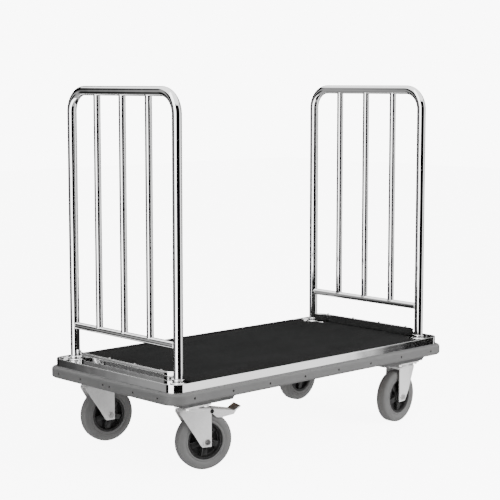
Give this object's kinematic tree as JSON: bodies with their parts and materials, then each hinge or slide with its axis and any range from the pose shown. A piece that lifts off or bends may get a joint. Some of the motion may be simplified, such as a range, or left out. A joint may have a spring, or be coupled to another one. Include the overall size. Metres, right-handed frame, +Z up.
{
  "type": "hotel luggage cart",
  "caption": "Luggage cart with a carpeted platform in a rubber-edged polished rim, a barred chromed hoop at each end, and swivel castors with foot brakes.",
  "frame": {"origin": "centre of the cart's outline on the floor", "axes": "+X along the cart's length, +Y across it, +Z up"},
  "size_m": [1.392, 0.714, 1.2898],
  "materials": {
    "chrome": "mirror-polished chromed tube",
    "polished_steel": "polished stainless steel",
    "zinc_steel": "bright zinc plate on pressed steel",
    "fastener_steel": "zinc-plated fasteners",
    "dark_fastener": "black screws",
    "frame_steel": "dark painted steel",
    "carpet": "cut-pile charcoal carpet",
    "plywood": "plain plywood",
    "bumper_rubber": "matt grey rubber",
    "tyre_rubber": "grey non-marking rubber tread",
    "hub_plastic": "black moulded plastic",
    "shoe_rubber": "black rubber"
  },
  "bodies": {
    "root": {"carpet": "carpet", "deck_board": "plywood", "deck_frame": "frame_steel", "rim_band": "polished_steel", "bumper_front": "bumper_rubber", "bumper_rear": "bumper_rubber", "bumper_screws": "dark_fastener", "end_plates": "polished_steel", "kerb_left": "polished_steel", "kerb_right": "polished_steel", "kerb_screws": "fastener_steel", "hoop_left": "chrome", "hoop_right": "chrome", "cross_bar_left": "chrome", "cross_bar_right": "chrome", "bars_left": "chrome", "bars_right": "chrome", "post_collars": "chrome", "castor_channels": "zinc_steel", "castor_plates": "zinc_steel", "plate_bolts": "fastener_steel", "race_cups": "zinc_steel", "king_pins": "fastener_steel"},
    "castor_front_left": {"fork_front_left": "zinc_steel", "axle_front_left": "fastener_steel", "sleeve_front_left": "fastener_steel", "pedal_pin_front_left": "fastener_steel"},
    "wheel_front_left": {"bearings_front_left": "fastener_steel", "hub_front_left": "hub_plastic", "tyre_front_left": "tyre_rubber"},
    "brake_front_left": {"pedal_front_left": "zinc_steel", "brake_shoe_front_left": "shoe_rubber"},
    "castor_rear_left": {"fork_rear_left": "zinc_steel", "axle_rear_left": "fastener_steel", "sleeve_rear_left": "fastener_steel"},
    "wheel_rear_left": {"bearings_rear_left": "fastener_steel", "hub_rear_left": "hub_plastic", "tyre_rear_left": "tyre_rubber"},
    "castor_front_right": {"fork_front_right": "zinc_steel", "axle_front_right": "fastener_steel", "sleeve_front_right": "fastener_steel"},
    "wheel_front_right": {"bearings_front_right": "fastener_steel", "hub_front_right": "hub_plastic", "tyre_front_right": "tyre_rubber"},
    "castor_rear_right": {"fork_rear_right": "zinc_steel", "axle_rear_right": "fastener_steel", "sleeve_rear_right": "fastener_steel", "pedal_pin_rear_right": "fastener_steel"},
    "wheel_rear_right": {"bearings_rear_right": "fastener_steel", "hub_rear_right": "hub_plastic", "tyre_rear_right": "tyre_rubber"},
    "brake_rear_right": {"pedal_rear_right": "zinc_steel", "brake_shoe_rear_right": "shoe_rubber"}
  },
  "joints": [
    {"name": "swivel_front_left", "type": "hinge", "parent": "root", "child": "castor_front_left", "pos_m": [-0.54, -0.265, 0.218], "axis": [0, 0, 1], "continuous": true},
    {"name": "roll_front_left", "type": "hinge", "parent": "castor_front_left", "child": "wheel_front_left", "pos_m": [-0.49911, -0.27829, 0.1], "axis": [0.309, 0.9511, 0], "continuous": true},
    {"name": "pedal_front_left", "type": "hinge", "parent": "castor_front_left", "child": "brake_front_left", "pos_m": [-0.48103, -0.28416, 0.2035], "axis": [0.309, 0.9511, 0], "range_deg": [0, 12]},
    {"name": "swivel_rear_left", "type": "hinge", "parent": "root", "child": "castor_rear_left", "pos_m": [-0.54, 0.265, 0.218], "axis": [0, 0, 1], "continuous": true},
    {"name": "roll_rear_left", "type": "hinge", "parent": "castor_rear_left", "child": "wheel_rear_left", "pos_m": [-0.49765, 0.25753, 0.1], "axis": [0.1736, 0.9848, 0], "continuous": true},
    {"name": "swivel_front_right", "type": "hinge", "parent": "root", "child": "castor_front_right", "pos_m": [0.54, -0.265, 0.218], "axis": [0, 0, 1], "continuous": true},
    {"name": "roll_front_right", "type": "hinge", "parent": "castor_front_right", "child": "wheel_front_right", "pos_m": [0.49724, -0.26949, 0.1], "axis": [0.1045, -0.9945, 0], "continuous": true},
    {"name": "swivel_rear_right", "type": "hinge", "parent": "root", "child": "castor_rear_right", "pos_m": [0.54, 0.265, 0.218], "axis": [0, 0, 1], "continuous": true},
    {"name": "roll_rear_right", "type": "hinge", "parent": "castor_rear_right", "child": "wheel_rear_right", "pos_m": [0.49711, 0.262, 0.1], "axis": [0.0698, -0.9976, 0], "continuous": true},
    {"name": "pedal_rear_right", "type": "hinge", "parent": "castor_rear_right", "child": "brake_rear_right", "pos_m": [0.47815, 0.26067, 0.2035], "axis": [0.0698, -0.9976, 0], "range_deg": [0, 12]}
  ]
}
